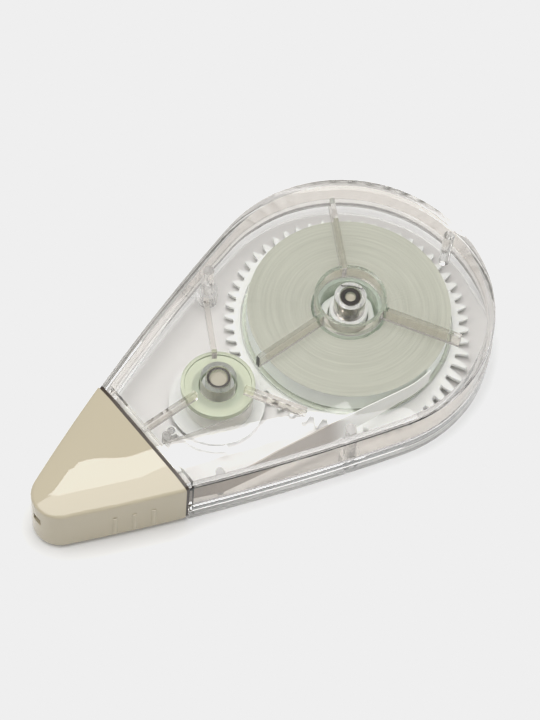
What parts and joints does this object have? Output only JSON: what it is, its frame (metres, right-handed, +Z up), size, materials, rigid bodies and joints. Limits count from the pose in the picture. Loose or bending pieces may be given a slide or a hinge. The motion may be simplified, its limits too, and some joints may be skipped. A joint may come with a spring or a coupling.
{
  "type": "correction tape",
  "caption": "Flat teardrop correction tape with a clear snap-fit case, a geared tape roll and take-up spool, and a beige pull-off nose cap.",
  "frame": {"origin": "under the middle of the case, on the surface that it lies on", "axes": "+X along the case towards its round end, +Y across it, +Z up through its flat top"},
  "size_m": [0.1054, 0.0592, 0.0132],
  "materials": {
    "clear_plastic": "polished clear moulding",
    "beige_plastic": "satin moulding",
    "white_plastic": "semi-matte moulding",
    "green_plastic": "translucent moulding",
    "tip_plastic": "soft matte moulding",
    "fresh_tape": "edge of a tight tape roll",
    "used_tape": "thin translucent carrier"
  },
  "bodies": {
    "case": {"lower_shell": "clear_plastic", "upper_shell": "clear_plastic", "tip_carrier": "white_plastic", "applicator_tip": "tip_plastic", "feed_tape_run": "fresh_tape", "return_tape_run": "used_tape"},
    "cap": {"tip_cap": "beige_plastic"},
    "supply_drive": {"supply_gear": "white_plastic", "clutch_ring": "white_plastic"},
    "supply_reel": {"supply_core": "green_plastic", "supply_coil": "fresh_tape", "supply_winding": "fresh_tape"},
    "takeup": {"takeup_gear": "white_plastic", "takeup_spool": "green_plastic", "takeup_coil": "used_tape"},
    "pawl": {"anti_reverse_pawl": "white_plastic"}
  },
  "joints": [
    {"name": "cap_pull", "type": "slide", "parent": "case", "child": "cap", "axis": [-1, 0, 0], "range_m": [0, 0.03]},
    {"name": "supply_gear_spin", "type": "hinge", "parent": "case", "child": "supply_drive", "pos_m": [0.02442, 0.00085, 0.0015], "axis": [0, 0, 1], "continuous": true},
    {"name": "supply_reel_slip", "type": "hinge", "parent": "supply_drive", "child": "supply_reel", "pos_m": [0.02442, 0.00085, 0.0048], "axis": [0, 0, 1], "continuous": true},
    {"name": "takeup_spin", "type": "hinge", "parent": "case", "child": "takeup", "pos_m": [-0.00786, 0.00192, 0.0015], "axis": [0, 0, 1], "continuous": true},
    {"name": "pawl_flex", "type": "hinge", "parent": "case", "child": "pawl", "pos_m": [-0.0188, 0.0023, 0.0015], "axis": [0, 0, 1], "range_deg": [-6, 0], "stiffness_Nm_per_rad": 0.004}
  ],
  "couplings": [
    {"joint": "takeup_spin", "follows": "supply_gear_spin", "ratio": -2.8}
  ]
}
